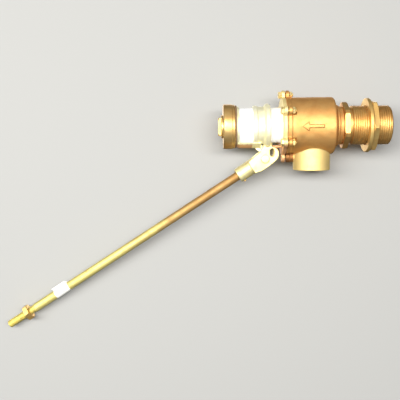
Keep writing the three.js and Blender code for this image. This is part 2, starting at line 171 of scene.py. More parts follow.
def metal(
    name, clean, aged, dirt, rough, cast=0.0, rings=0.0, drawn=0.0, tint=None, branch=None,
    stain_and_painted_shade=None, metallic=1.0,
):
    """Brass or bronze: patches of tarnish, specks, worn grain, and the marks of how it was made.

    cast is the depth of the sand-cast grain, rings that of turning marks round X and
    drawn that of lines along X, all in millimetres. tint is (x0, x1, colour): the colour
    takes over between two places along X, in metres. branch is (x, radius, top z, colour,
    added roughness) of an upright branch that has been turned smooth; its paler colour is
    partly that finish and partly a painted highlight. stain is (x, half width, top z,
    colour): painted shade in that colour on what lies lower than top and further than the
    half width from x. Both are in millimetres.
    """
    n = Nodes(name)
    patches = n.noise(38, 4, 0.6, warp=0.4)
    blotches = n.noise(170, 4, 0.62, warp=0.8)
    specks = n.noise(1500, 2, 0.5)
    mixed = n.blend(n.spread(patches, 0.36, 0.66), clean, aged)
    if tint:
        x0, x1, other = tint
        ragged = 0.28 * (x1 - x0)
        place = n.sum(n.axis("X"), n.spread(patches, 0.3, 0.7, -ragged, ragged))
        mixed = n.blend(n.spread(place, x0, x1, smooth=True), mixed, other)
    mixed = n.blend(n.spread(blotches, 0.52, 0.78, 0.0, 0.45), mixed, aged)
    mixed = n.blend(n.spread(specks, 0.66, 0.8, 0.0, 0.5), mixed, dirt)
    uneven = n.sum(
        n.spread(blotches, 0.3, 0.7, -0.05, 0.07), n.spread(specks, 0.3, 0.7, -0.03, 0.04)
    )
    # Painted shade: a darker colour laid on what lies low and away from x.
    if stain_and_painted_shade:
        x, half, top, low = stain_and_painted_shade
        away = n.sum(n.sum(n.axis("X"), -x * MM), 0.0, "ABSOLUTE")
        low_down = n.sum(n.axis("Z"), n.spread(blotches, 0.3, 0.7, -MM, MM))
        mask = n.sum(
            n.spread(away, half * MM, (half + 1) * MM),
            n.spread(low_down, (top - 1.5) * MM, top * MM, 1.0, 0.0), "MULTIPLY",
        )
        mixed = n.blend(n.sum(mask, 0.9, "MULTIPLY"), mixed, low)
    grainy = 1.0
    # The upright branch gets a paler colour: partly its turned finish, partly a painted
    # highlight.
    if branch:
        x, radius, top, smooth, change = branch
        away = n.tree.nodes.new("ShaderNodeVectorMath")
        away.operation = "DISTANCE"
        n.join(n.stretched((1, 1, 0)), away.inputs[0])
        away.inputs[1].default_value = (x * MM, 0, 0)
        inside = n.spread(away.outputs["Value"], radius * MM, (radius + 0.4) * MM, 1.0, 0.0)
        below = n.spread(n.axis("Z"), (top - 1) * MM, top * MM, 1.0, 0.0)
        inside = n.sum(inside, below, "MULTIPLY")
        mixed = n.blend(n.sum(inside, 0.85, "MULTIPLY"), mixed, smooth)
        uneven = n.sum(uneven, n.sum(inside, change, "MULTIPLY"))
        grainy = n.spread(inside, 0.0, 1.0, 1.0, 0.2)
    n.join(mixed, n.shader.inputs["Base Color"])
    n.shader.inputs["Metallic"].default_value = metallic
    normal = None
    if cast:
        grain = n.noise(900, 5, 0.62)
        lumps = n.noise(150, 3, 0.5)
        normal = n.bump(n.sum(grain, n.sum(lumps, 1.6, "MULTIPLY")), cast * MM, grainy)
    if rings:
        lines = n.noise(1, 3, 0.6, n.stretched((2600, 14, 14)))
        normal = n.bump(lines, rings * MM, under=normal)
        uneven = n.sum(uneven, n.spread(lines, 0.3, 0.7, -0.04, 0.05))
    if drawn:
        lines = n.noise(1, 3, 0.6, n.stretched((22, 1900, 1900)))
        normal = n.bump(lines, drawn * MM, under=normal)
        uneven = n.sum(uneven, n.spread(lines, 0.3, 0.7, -0.05, 0.06))
    scuffs = n.noise(1, 2, 0.5, n.stretched((420, 90, 1400), 0.6), warp=0.6)
    normal = n.bump(n.spread(scuffs, 0.62, 0.72), 0.012 * MM, under=normal)
    n.join(n.sum(uneven, rough), n.shader.inputs["Roughness"])
    n.join(normal, n.shader.inputs["Normal"])
    return n.material


def plastic(name, base, stain_and_painted_shade, rough, grain):
    n = Nodes(name)
    patches = n.noise(60, 4, 0.6)
    specks = n.noise(1200, 2, 0.5)
    mixed = n.blend(n.spread(patches, 0.45, 0.75, 0.0, 0.5), base, stain_and_painted_shade)
    mixed = n.blend(n.spread(specks, 0.68, 0.8, 0.0, 0.25), mixed, stain_and_painted_shade)
    n.join(mixed, n.shader.inputs["Base Color"])
    lines = n.noise(1, 3, 0.6, n.stretched((1500, 30, 30)))
    n.join(n.spread(lines, 0.3, 0.7, rough - 0.06, rough + 0.08), n.shader.inputs["Roughness"])
    normal = n.bump(lines, grain * MM)
    n.join(n.bump(n.noise(700, 4, 0.6), grain * MM, under=normal), n.shader.inputs["Normal"])
    return n.material


def soft(name, base, other, rough, scale, depth):
    """Rubber, fibre board and paper: a fine uneven grain and no metal."""
    n = Nodes(name)
    grain = n.noise(scale, 5, 0.65, warp=0.5)
    patches = n.noise(scale / 12, 3, 0.6)
    mixed = n.blend(n.spread(grain, 0.4, 0.75, 0.0, 0.6), base, other)
    mixed = n.blend(n.spread(patches, 0.5, 0.8, 0.0, 0.4), mixed, other)
    n.join(mixed, n.shader.inputs["Base Color"])
    n.join(n.spread(grain, 0.3, 0.7, rough - 0.08, rough + 0.08), n.shader.inputs["Roughness"])
    n.join(n.bump(grain, depth * MM), n.shader.inputs["Normal"])
    return n.material


BRONZE_CAST = metal(
    "bronze_cast", colour(228, 182, 114), colour(214, 160, 94), colour(140, 98, 54),
    0.6, cast=0.05, metallic=0.96,
    # The outlet branch is paler: partly its turned finish, partly a painted highlight.
    branch=(OUTLET_X, OUTLET_R + 0.2, -22.4, colour(252, 232, 164), 0.06),
    # Painted shade: the body's lower parts beside the outlet, with the lower flange ear and boss,
    # darkened to brown.
    stain_and_painted_shade=(OUTLET_X, 19.9, -27.5, colour(140, 96, 58)),
)
BRONZE_TURNED = metal(
    "bronze_turned", colour(232, 190, 118), colour(214, 160, 90), colour(130, 90, 48),
    0.46, rings=0.03, metallic=0.97,
)
BRASS_TURNED = metal(
    "brass_turned", colour(238, 206, 134), colour(222, 178, 104), colour(140, 102, 56),
    0.5, rings=0.02, metallic=0.95,
)
CAP_BRONZE = metal(
    "bronze_cap", colour(246, 214, 148), colour(230, 184, 114), colour(134, 94, 52),
    0.44, rings=0.03, metallic=1.0,
)
BOLT_BRASS = metal(
    "bolt_brass", colour(248, 228, 166), colour(234, 202, 132), colour(150, 112, 64),
    0.5, drawn=0.01, metallic=0.92,
)
PALE_BRASS = metal(
    "pale_brass", colour(247, 238, 184), colour(234, 217, 150), colour(176, 146, 88),
    0.58, cast=0.03, metallic=0.82,
)
CAGE_BRASS = metal(
    "pale_brass_cage", colour(254, 251, 224), colour(248, 240, 194), colour(204, 180, 124),
    0.6, cast=0.03, tint=(-0.081, -0.078, colour(240, 220, 158)), metallic=0.74,
    # Painted shade: the cage's lower parts under the piston, away from the lug, darkened to
    # brown.
    stain_and_painted_shade=(-97, 9.6, -18, colour(222, 168, 122)),
)
ROD_BRASS = metal(
    "rod_brass", colour(202, 166, 112), colour(184, 146, 92), colour(118, 90, 52),
    # Painted light: the rod's colour turns paler towards its tip, standing in for brighter light
    # there, and stays darker near the knuckle.
    0.66, drawn=0.02, tint=(0.09, 0.2, colour(238, 226, 148)), metallic=0.95,
)
ACETAL = plastic("acetal", colour(246, 247, 247), colour(232, 234, 228), 0.42, 0.01)
SEAL = soft("seal_rubber", colour(128, 100, 72), colour(98, 76, 54), 0.6, 900, 0.03)
RUBBER = soft("rubber", colour(34, 32, 31), colour(66, 62, 58), 0.6, 900, 0.03)
FIBRE = soft("fibre", colour(206, 160, 104), colour(160, 118, 72), 0.85, 700, 0.04)
STEEL = metal(
    "steel", colour(196, 194, 188), colour(160, 154, 146), colour(90, 80, 70),
    0.34, drawn=0.01,
)


def paper():
    """Blank label paper with one small rubbed mark."""
    n = Nodes("paper")
    fibres = n.noise(1, 4, 0.6, n.stretched((700, 1600, 1600)), warp=0.5)
    base = n.blend(n.spread(fibres, 0.4, 0.7), colour(246, 246, 242), colour(230, 229, 222))
    spot = n.tree.nodes.new("ShaderNodeVectorMath")
    spot.operation = "DISTANCE"
    n.join(n.coords, spot.inputs[0])
    spot.inputs[1].default_value = (0.2645, -0.0048, 0.0012)
    smudge = n.sum(
        n.spread(spot.outputs["Value"], 0.0006, 0.0021, 1.0, 0.0),
        n.spread(n.noise(1800, 3, 0.6), 0.4, 0.6),
        "MULTIPLY",
    )
    n.join(n.blend(smudge, base, colour(150, 148, 140)), n.shader.inputs["Base Color"])
    n.join(n.spread(fibres, 0.3, 0.7, 0.62, 0.78), n.shader.inputs["Roughness"])
    n.join(n.bump(fibres, 0.02 * MM), n.shader.inputs["Normal"])
    return n.material


PAPER = paper()


# ---- pieces from a mesh ---------------------------------------------------
def piece(name, points, faces, material, body, nodes, matrix=None, normals=None):
    """Makes a named mesh from millimetre points, and ties it to the frame."""
    mesh = bpy.data.meshes.new(name)
    mesh.from_pydata((np.asarray(points, float) * MM).tolist(), [], faces)
    if normals is None:
        work = bmesh.new()
        work.from_mesh(mesh)
        bmesh.ops.remove_doubles(work, verts=work.verts, dist=2e-7)
        bmesh.ops.recalc_face_normals(work, faces=work.faces)
        work.to_mesh(mesh)
        work.free()
    mesh.shade_smooth()
    if normals is None:
        mesh.set_sharp_from_angle(angle=math.radians(38))
    else:
        mesh.normals_split_custom_set_from_vertices(normals.tolist())
    mesh.materials.append(material)
    shown = bpy.data.objects.new(name, mesh)
    bpy.context.scene.collection.objects.link(shown)
    if matrix is not None:
        shown.matrix_world = matrix
    if normals is None:
        even = shown.modifiers.new("even_shading", "WEIGHTED_NORMAL")
        even.keep_sharp = True
    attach(shown, body)
    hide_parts(*nodes)
    return shown


# ---- outlines -------------------------------------------------------------
def rounded(outline, radius=0.3, steps=3):
    """A closed outline with each corner off the axis turned into a small arc.

    A corner is (x, r) or (x, r, its own radius).
    """
    corners = [(Vector(c[:2]), c[2] if len(c) > 2 else radius) for c in outline]
    made = []
    for i, (here, wanted) in enumerate(corners):
        before, after = corners[i - 1][0], corners[(i + 1) % len(corners)][0]
        if abs(here.y) < 1e-9 or wanted <= 0:
            made.append(tuple(here))
            continue
        a, b = (before - here), (after - here)
        angle = a.angle(b)
        if angle > math.radians(177):
            made.append(tuple(here))
            continue
        reach = min(wanted / math.tan(angle / 2), a.length * 0.45, b.length * 0.45)
        r = reach * math.tan(angle / 2)
        a.normalize()
        b.normalize()
        centre = here + (a + b).normalized() * (r / math.sin(angle / 2))
        start, end = here + a * reach - centre, here + b * reach - centre
        turn = start.angle(end)
        for k in range(steps + 1):
            t = k / steps
            p = centre + (
                start * math.sin((1 - t) * turn) + end * math.sin(t * turn)
            ) / math.sin(turn)
            made.append(tuple(p))
    return made


def dense(outline, step):
    """The closed outline with no stretch longer than step."""
    made = []
    for i, a in enumerate(outline):
        b = outline[(i + 1) % len(outline)]
        count = max(1, math.ceil(math.hypot(b[0] - a[0], b[1] - a[1]) / step))
        if abs(a[1]) < 1e-9 and abs(b[1]) < 1e-9:
            count = 1
        made += [
            (a[0] + (b[0] - a[0]) * k / count, a[1] + (b[1] - a[1]) * k / count)
            for k in range(count)
        ]
    return made


# ---- turned, threaded and hexagonal pieces --------------------------------
def corner_angles(sides, corner, spread=0.09):
    """Angles that crowd round each corner of a polygon, so that it stays crisp."""
    made = []
    for k in range(sides):
        at = corner + k * 2 * math.pi / sides
        made += [at + spread * t for t in (-1.4, -0.9, -0.5, -0.2, 0, 0.2, 0.5, 0.9, 1.4)]
    return np.mod(made, 2 * math.pi)


def flats(sides, across, corner, bevel, x0=-1e9, x1=1e9, above=0.0):
    """Limits the radius to a regular polygon between two X values."""
    half = math.pi / sides

    def cut(x, r, t):
        phi = np.mod(t - corner + half, 2 * half) - half
        flat = across / 2 / np.cos(half - np.abs(phi))
        reach = (across / 2 - bevel) / math.cos(half)
        limit = half - math.atan2(reach * math.sin(half), across / 2)
        under = np.maximum(bevel**2 - (reach * np.sin(phi)) ** 2, 0)
        arc = reach * np.cos(phi) + np.sqrt(under)
        edge = np.where(np.abs(phi) < limit, arc, flat)
        return np.where((x >= x0) & (x <= x1) & (r > above), np.minimum(r, edge), r)

    return cut


def thread(pitch, depth, x0, x1, above, below=1e9, inward=True):
    """Cuts a helical V thread with rounded crests between two X values."""

    def cut(x, r, t):
        turn = np.mod(x / pitch - t / (2 * math.pi), 1.0)
        tooth = np.clip(np.abs(turn - 0.5) * 2 * 1.25 - 0.12, 0, 1)
        wave = tooth * tooth * (3 - 2 * tooth)
        fade = np.clip((x - x0) / pitch, 0, 1) * np.clip((x1 - x) / (pitch * 0.5), 0, 1)
        change = depth * wave * fade
        inside = (x > x0) & (x < x1) & (r > above) & (r < below)
        return np.where(inside, r - change if inward else r + change, r)

    return cut


def ribs(count, first, width, height, x0, x1, above):
    """Low ribs along X round a turned outside."""

    def cut(x, r, t):
        step = 2 * math.pi / count
        phi = np.mod(t - first + step / 2, step) - step / 2
        rise = np.exp(-((phi * r / width) ** 2)) * height
        fade = np.clip((x - x0) / 0.8, 0, 1) * np.clip((x1 - x) / 0.8, 0, 1)
        return np.where(r > above, r + rise * fade, r)

    return cut


def turned(outline, columns=96, cuts=(), angles=()):
    """Points and faces of an outline turned about X, its radius changed by each cut."""
    t = np.unique(
        np.round(np.concatenate([np.arange(columns) * 2 * math.pi / columns, angles]), 5)
    )
    rows = np.asarray(outline, float)
    x = np.repeat(rows[:, :1], len(t), 1)
    r = np.repeat(rows[:, 1:2], len(t), 1)
    angle = np.repeat(t[None, :], len(rows), 0)
    for cut in cuts:
        r = cut(x, r, angle)
    points = np.stack([x, -r * np.cos(angle), r * np.sin(angle)], -1).reshape(-1, 3)
    faces = []
    wide = len(t)
    for i in range(len(rows)):
        j = (i + 1) % len(rows)
        if abs(rows[i, 1]) < 1e-9 and abs(rows[j, 1]) < 1e-9:
            continue
        for k in range(wide):
            m = (k + 1) % wide
            if abs(rows[i, 1]) < 1e-9:
                faces.append((i * wide, j * wide + m, j * wide + k))
            elif abs(rows[j, 1]) < 1e-9:
                faces.append((i * wide + k, i * wide + m, j * wide))
            else:
                faces.append((i * wide + k, i * wide + m, j * wide + m, j * wide + k))
    return points, faces


def used(points, faces):
    """Drops points that no face uses."""
    keep = np.unique(np.concatenate([np.asarray(f) for f in faces]))
    place = {int(old): new for new, old in enumerate(keep)}
    return points[keep], [tuple(place[int(i)] for i in f) for f in faces]


def shaped(name, outline, material, slot, nodes, body="valve", matrix=None, move=None, **how):
    points, faces = turned(outline, **how)
    points, faces = used(points, faces)
    if move is not None:
        points = points + np.asarray(move, float)
    return piece(name, points, faces, material, body, nodes, matrix)


# ---- castings from a distance field ---------------------------------------
def smin(a, b, k):
    h = np.maximum(k - np.abs(a - b), 0) / k
    return np.minimum(a, b) - h * h * k / 4


def smax(a, b, k):
    return -smin(-a, -b, k)


def polygon(u, v, outline):
    """Signed distance to a closed outline in a plane, negative inside."""
    best = np.full(u.shape, 1e18)
    inside = np.zeros(u.shape, bool)
    for i, (ax, ay) in enumerate(outline):
        bx, by = outline[i - 1][:2]
        ex, ey = bx - ax, by - ay
        wx, wy = u - ax, v - ay
        t = np.clip((wx * ex + wy * ey) / max(ex * ex + ey * ey, 1e-12), 0, 1)
        best = np.minimum(best, (wx - ex * t) ** 2 + (wy - ey * t) ** 2)
        if abs(ey) > 1e-12:
            crosses = ((ay <= v) != (by <= v)) & (u < ex * wy / ey + ax)
            inside ^= crosses
    return np.where(inside, -1, 1) * np.sqrt(best)


def slab(flat, away, half, rounding):
    """A flat outline given thickness, with its edges rounded."""
    a = flat + rounding
    b = np.abs(away) - half + rounding
    outside = np.hypot(np.maximum(a, 0), np.maximum(b, 0))
    return np.minimum(np.maximum(a, b), 0) + outside - rounding


def around_x(p, outline):
    return polygon(p[0], np.hypot(p[1], p[2]), outline)


def within(value, low, high):
    """Distance outside a range of one coordinate."""
    return np.maximum(low - value, value - high)


def sand(p, depth):
    """Slow waviness of a hand-finished casting."""
    x, y, z = p
    a = np.sin(x * 0.43 + 1.1 * np.sin(z * 0.21)) * np.sin(y * 0.39 + 0.7)
    b = np.sin(z * 0.57 + 0.9 * np.sin(x * 0.17)) * np.cos(x * 0.31 - y * 0.29)
    return depth * (a + b)


def cast(name, field, low, high, step, material, slot, nodes, body="valve"):
    """Meshes a distance field and takes its shading normals from the field itself."""
    block = 6
    low, high = np.asarray(low, float), np.asarray(high, float)
    count = np.ceil((high - low) / (step * block)).astype(int) + 1
    centre = [low[a] + (np.arange(count[a]) + 0.5) * step * block for a in range(3)]
    coarse = np.stack(np.meshgrid(*centre, indexing="ij"), 0).reshape(3, -1)
    rough = field(coarse).reshape(count)
    near = np.argwhere(np.abs(rough) < step * block * 0.9 + 3 * step)
    values = np.where(rough < 0, -3.0 * step, 3.0 * step)
    for a in range(3):
        values = np.repeat(values, block, axis=a)
    offsets = np.argwhere(np.ones((block,) * 3, bool))
    cells = (near[:, None, :] * block + offsets[None, :, :]).reshape(-1, 3)
    exact = field((low + cells * step).T)
    values[cells[:, 0], cells[:, 1], cells[:, 2]] = np.clip(exact, -3 * step, 3 * step)
    grid = openvdb.FloatGrid(3.0 * step)
    grid.copyFromArray(np.ascontiguousarray(values, dtype=np.float32))
    points, triangles, quads = grid.convertToPolygons(isovalue=0.0, adaptivity=0.0)
    p = low[:, None] + points.astype(float).T * step

    def slope(q):
        reach = 0.04
        g = np.stack(
            [
                field(q + reach * np.eye(3)[:, a : a + 1])
                - field(q - reach * np.eye(3)[:, a : a + 1])
                for a in range(3)
            ]
        )
        return g / np.maximum(np.linalg.norm(g, axis=0), 1e-9)

    for _ in range(2):
        p = p - slope(p) * np.clip(field(p), -step, step)
    normals = slope(p)
    faces = [tuple(f) for f in quads.tolist()] + [tuple(f) for f in triangles.tolist()]
    first = np.array([f[:3] for f in faces[:4000]])
    a, b, c = (p.T[first[:, k]] for k in range(3))
    facing = np.einsum("ij,ij->i", np.cross(b - a, c - a), normals.T[first[:, 0]])
    if np.sum(facing) < 0:
        faces = [f[::-1] for f in faces]
    return piece(name, p.T, faces, material, body, nodes, normals=normals.T)


# ---- valve body -----------------------------------------------------------
BARREL = rounded(
    [
        (-69, -9), (-69, BARREL_R, 0.5), (-19.2, BARREL_R, 2.6), (-19.2, NECK_R, 0.6),
        (-17.8, NECK_R, 0.5), (-17.3, NECK_R + 1.6, 0.8), (-14.9, NECK_R + 1.6, 0.8),
        (-14.4, NECK_R, 0.6), (-10.4, NECK_R, 0.4), (-10.4, -9),
    ],
    steps=5,
)
ARROW = rounded(
    [
        (-56, 0, 0.5), (-49, 5, 0.5), (-49, 1.6, 0.3), (-33.5, 1.6, 0.4),
        (-33.5, -1.6, 0.4), (-49, -1.6, 0.3), (-49, -5, 0.5),
    ],
)


def ears(y, z):
    """The outline shared by both flanges: a disc, six bolt ears and a deeper lower ear."""
    flat = np.hypot(y, z) - FLANGE_R
    for by, bz in BOLTS:
        flat = smin(flat, np.hypot(y - by, z - bz) - EAR_R, 1.6)
    return smin(flat, np.hypot(y, z - LOWER_EAR_Z) - LOWER_EAR_R, 1.6)


def bolt_holes(p, radius):
    hole = np.full(p.shape[1], 1e9)
    for by, bz in BOLTS:
        hole = np.minimum(hole, np.hypot(p[1] - by, p[2] - bz) - radius)
    return hole


def body_field(p):
    x, y, z = p
    rho = np.hypot(y, z)
    upright = np.hypot(x - OUTLET_X, y)
    solid = around_x(p, BARREL) + sand(p, 0.05)
    branch = slab(upright - OUTLET_R, z - OUTLET_Z / 2, -OUTLET_Z / 2, 0.7)
    solid = smin(solid, branch + sand(p, 0.015), 1.1)
    boss = slab(np.hypot(y, z - LOWER_EAR_Z) - LOWER_EAR_R, x + 63, 5, 1.2)
    solid = smin(solid, boss, 1.2)
    rise = np.clip(0.5 - polygon(x, z, ARROW) / 1.1, 0, 1)
    lift = np.where(y < 0, 0.6 * rise * rise * (3 - 2 * rise), 0)
    solid = np.where(rho > BARREL_R - 3, solid - lift, solid)
    solid = smin(solid, slab(ears(y, z), x + 68.5, 1.9, 0.5), 1.0)
    solid = smax(solid, -np.maximum(rho - 25, x + 26.5), 0.5)
    solid = smax(solid, -np.maximum(rho - 17.2, -20 - x), 0.3)
    solid = smax(solid, -(rho - 12.2), 0.3)
    solid = smax(solid, -np.maximum(upright - OUTLET_BORE_R, z + 10), 0.8)
    reach = np.where((np.abs(y) < 9) & (z < 0), -62.3, -60.0)
    solid = smax(solid, -np.maximum(bolt_holes(p, BOLT_HOLE_R), x - reach), 0.2)
    pocket = np.full(x.shape, 1e9)
    for i, (by, bz) in enumerate(BOLTS):
        if i != BLIND:
            pocket = np.minimum(pocket, np.hypot(y - by, z - bz) - 4.45)
    pocket = np.maximum(pocket, within(x, -66.6, -62))
    return smax(solid, -pocket, 0.6)


cast(
    "body_casting", body_field, (-70, -36.5, -49), (-9.5, 36.5, 39.5), 0.44,
    BRONZE_CAST, "bronze", ["body"],
)

# ---- cage -----------------------------------------------------------------
BAND = rounded(
    [
        (-105.8, -9), (-105.8, 22.2, 0.9), (-101.9, 22.2, 0.9), (-100.9, 21.2, 0.9),
        (-94.4, 21.1, 0.9), (-93.2, 22.8, 0.9), (-92.2, 24, 1.0), (-87.8, 24, 1.2),
        (-87.8, -9),
    ],
    steps=5,
)
LUG = [
    (-104.2, -21), (-102.6, -24.8), (-99.2, -27), (-98.2, -31),
    *[
        (PIVOT[0] + 5 * math.cos(math.radians(a)), PIVOT[1] + 5 * math.sin(math.radians(a)))
        for a in range(170, 371, 10)
    ],
    (-88.2, -30), (-88.4, -24), (-86, -21.5), (-86, -20.6),
]


def cage_field(p):
    x, y, z = p
    rho = np.hypot(y, z)
    solid = slab(ears(y, z), x + 73.2, 1.8, 0.5) + sand(p, 0.04)
    solid = smin(solid, np.maximum(rho - 24.8, within(x, -73, -58.5)), 0.4)
    solid = smin(solid, around_x(p, BAND) + sand(p, 0.04), 0.8)
    solid = smin(solid, np.maximum(rho - 21.9, within(x, -134, -121.2)), 0.6)
    trough = np.maximum(np.maximum(rho - 23.3, z - PISTON_FLAT_Z), within(x, -121.8, -97.5))
    solid = smin(solid, trough, 1.0)
    solid = smax(solid, -np.maximum(rho - GUIDE_R, within(x, -140, -50)), 0.3)
    bridge = slab(within(z, -23, -20.4), y, LUG_HALF, 0.5)
    solid = smin(solid, np.maximum(bridge, within(x, -99, -74.5)), 1.2)
    solid = smin(solid, slab(polygon(x, z, LUG), y, LUG_HALF, 0.6), 0.8)
    gap = np.maximum(within(np.abs(y), LUG_HALF, 9.6), within(x, -97.4, -75.6))
    solid = smax(solid, -np.maximum(gap, within(z, -60, -16)), 0.4)
    solid = smax(solid, -(np.hypot(x - PIVOT[0], z - PIVOT[1]) - PIN_HOLE_R), 0.3)
    sink = (np.hypot(y, z + 33) - 4.4 + np.maximum(x + 74.9, -1)) * 0.7
    solid = smax(solid, -np.maximum(sink, x + 72), 0.1)
    return smax(solid, -np.maximum(bolt_holes(p, BOLT_HOLE_R), within(x, -80, -60)), 0.2)


cast(
    "cage_casting", cage_field, (-136, -36.5, -42), (-57, 36.5, 39.5), 0.42,
    CAGE_BRASS, "pale_brass", ["cage"],
)

# ---- lever knuckle --------------------------------------------------------
reach = math.atan2(HEEL[1] - PIVOT[1], HEEL[0] - PIVOT[0])
side = (math.sin(reach), -math.cos(reach))
foot = (HEEL[1] - 6.8 - PIVOT[1]) / math.sin(reach)
foot_x = PIVOT[0] + math.cos(reach) * foot
foot_z = PIVOT[1] + math.sin(reach) * foot
CHEEK = rounded(
    [
        (-98.6, -27.6, 1.5), (-97.6, -25, 1.5),
        (foot_x - side[0] * HEEL_NECK, foot_z - side[1] * HEEL_NECK - 2, 2),
        (
            HEEL[0] - math.cos(reach) * 2.4 - side[0] * HEEL_NECK,
            HEEL[1] - math.sin(reach) * 2.4 - side[1] * HEEL_NECK, 0.6,
        ),
        *[
            (
                HEEL[0] + HEEL_R * math.cos(reach + math.radians(a)),
                HEEL[1] + HEEL_R * math.sin(reach + math.radians(a)), 0.0,
            )
            for a in range(98, -99, -14)
        ],
        (
            HEEL[0] - math.cos(reach) * 2.4 + side[0] * HEEL_NECK,
            HEEL[1] - math.sin(reach) * 2.4 + side[1] * HEEL_NECK, 0.6,
        ),
        (foot_x + side[0] * HEEL_NECK, foot_z + side[1] * HEEL_NECK, 2),
        (-81.8, -22.4, 2), (-79.6, -23.9, 2), (-78.2, -26.4, 2), (-77.9, -29.4, 2),
        (-78.3, -32.4, 3), (-80.4, -36.1, 4), (-84.4, -39.8, 4), (-88.7, -43, 4),
        (-93, -45.9, 4), (-97.2, -48.5, 3), (-100, -49, 3), (-110.5, -53, 2),
        (-113.5, -40.6, 2), (-111, -38.2, 3), (-103.8, -31.9, 3),
    ],
)
SOCKET = rounded(
    [(11.5, -9), (12.5, SOCKET_R, 1.2), (SOCKET_END, SOCKET_R, 1.4), (SOCKET_END, -9)]
)


def knuckle_field(p):
    x, y, z = p
    s = (x - PIVOT[0]) * ALONG[0] + (z - PIVOT[1]) * ALONG[1]
    n = (x - PIVOT[0]) * UNDER[0] + (z - PIVOT[1]) * UNDER[1]
    from_rod = np.hypot(y, n)
    slot = np.hypot(x + 85.4, np.clip(z, -30, -26.2) - z) - 2.3
    cheeks = smax(polygon(x, z, CHEEK), -slot, 0.8)
    solid = slab(cheeks, y, 8.6, 1.0)
    solid = smax(solid, s - 17, 0.5)
    solid = smin(solid, polygon(s, from_rod, SOCKET), 2.2)
    solid = solid + sand(p, 0.04)
    solid = smax(solid, -np.maximum(np.abs(y) - 5.2, s - 11), 0.6)
    solid = smax(solid, -np.maximum(from_rod - ROD_R - 0.15, 15.2 - s), 0.5)
    screw = np.hypot(s - 30.5, y) - 1.75
    solid = smax(solid, -np.maximum(screw, -n), 0.3)
    return smax(solid, -(np.hypot(x - PIVOT[0], z - PIVOT[1]) - PIN_HOLE_R), 0.3)


cast(
    "lever_knuckle_casting", knuckle_field, (-128, -9.5, -64), (-76, 9.5, -7), 0.3,
    PALE_BRASS, "pale_brass", ["lever_knuckle"], "lever",
)

# ---- piston ---------------------------------------------------------------
PISTON = rounded(
    [
        (-133.6, -9), (-133.6, PISTON_R, 0.9), (-132.4, PISTON_R, 0.2), (-132.4, 17.6, 0.2),
        (-129.4, 17.6, 0.2), (-129.4, PISTON_R, 0.2), (-73.4, PISTON_R, 0.2),
        (-73.4, 17.6, 0.2), (-70.4, 17.6, 0.2), (-70.4, PISTON_R, 0.2),
        (-60.5, PISTON_R, 0.8), (-58, 14.5, 1.2), (-49, 14.5, 0.4), (-48, 15.2, 0.4),
        (-43.4, 15.2, 0.8), (-43.4, -9),
    ],
)


def piston_field(p):
    x, y, z = p
    rho = np.hypot(y, z)
    solid = around_x(p, PISTON)
    solid = smax(solid, -np.maximum(z - PISTON_FLAT_Z, within(x, -121, -75)), 0.6)
    slot = np.maximum(within(x, HEEL[0] - 6, HEEL[0] + 6), np.abs(y) - 9.2)
    solid = smax(solid, -np.maximum(slot, z - HEEL[1] - HEEL_R - 0.9), 0.8)
    return smax(solid, -(rho - 4), 0.4)


cast(
    "piston_moulding", piston_field, (-135.1, -21.5, -21.5), (-42, 21.5, 21.5), 0.42,
    ACETAL, "acetal", ["piston"], "piston",
)
for i, part in enumerate(("piston_seal_rear", "piston_seal_front")):
    x = SEAL_X[i]
    ring = [(x + 0.2, 17.8), (x + 0.2, 20, 0.7), (x + 2.8, 20, 0.7), (x + 2.8, 17.8)]
    shaped(part + "_ring", rounded(ring), RUBBER, "rubber", [part], "piston")
washer = [(-43.2, 3.4), (-43.2, 14, 0.5), (-41.4, 14, 0.5), (-41.4, 3.4)]
shaped("seat_washer_disc", rounded(washer), RUBBER, "rubber", ["seat_washer"], "piston")
shaped(
    "washer_screw_turned",
    dense(
        rounded(
            [
                (-56, 0), (-56, 3.2, 0.5), (-41.2, 3.2, 0.2), (-41.2, 7.1, 0.3),
                (-40.7, 7.7, 0.2), (-38.4, 7.7, 0.3), (-37.6, 6.2, 0.3), (-37.6, 0),
            ],
        ),
        0.5,
    ),
    BRASS_TURNED, "brass", ["washer_screw"], "piston", columns=72,
    cuts=[flats(6, 13, 0, 0.3, -41.3, -37, 3.3), thread(1.0, 0.5, -55.6, -41.6, 3.1, 3.3)],
    angles=corner_angles(6, 0),
)

# ---- inlet tail, backnut and seat -----------------------------------------
HEX_CORNER = math.radians(37)
tail = dense(
    rounded(
        [
            (-19.5, 15.5, 0.4), (-19.5, 17, 0.6), (-10.2, 17, 0.2), (-10.2, 24.1, 0.4),
            (-9.6, 25, 0.2), (-5.0, 25, 0.2), (-4.4, 24.1, 0.4), (-4.4, 19.35, 0.5),
            (-1.2, 19.35, 0.4), (0, TAIL_R, 0.2), (39.6, TAIL_R, 0.2), (41, 19.6, 0.2),
            (41, 16.3, 0.2), (40.2, 15.5, 0.2),
        ],
    ),
    0.29,
)
shaped(
    "inlet_tail_turned", tail, BRONZE_TURNED, "bronze", ["inlet_tail"], columns=168,
    cuts=[
        flats(6, 45.3, HEX_CORNER, 0.35, -10.3, -4.3, 21.5),
        thread(PIPE_PITCH, 0.5, -0.9, 40.8, TAIL_R - 1.2, TAIL_R + 0.1),
    ],
    angles=corner_angles(6, HEX_CORNER),
)
NUT_CORNER = math.radians(-5)
nut = dense(
    rounded(
        [
            (15.1, 21.15, 0.5), (15.1, 29, 0.9), (18.6, 29, 0.8), (20.1, 26.6, 0.4),
            (20.1, 29.2, 0.1), (23.6, 29.2, 0.2), (24.9, 26.9, 0.4), (24.9, 22.4, 0.3),
            (23.9, 21.15, 0.3),
        ],
    ),
    0.5,
)
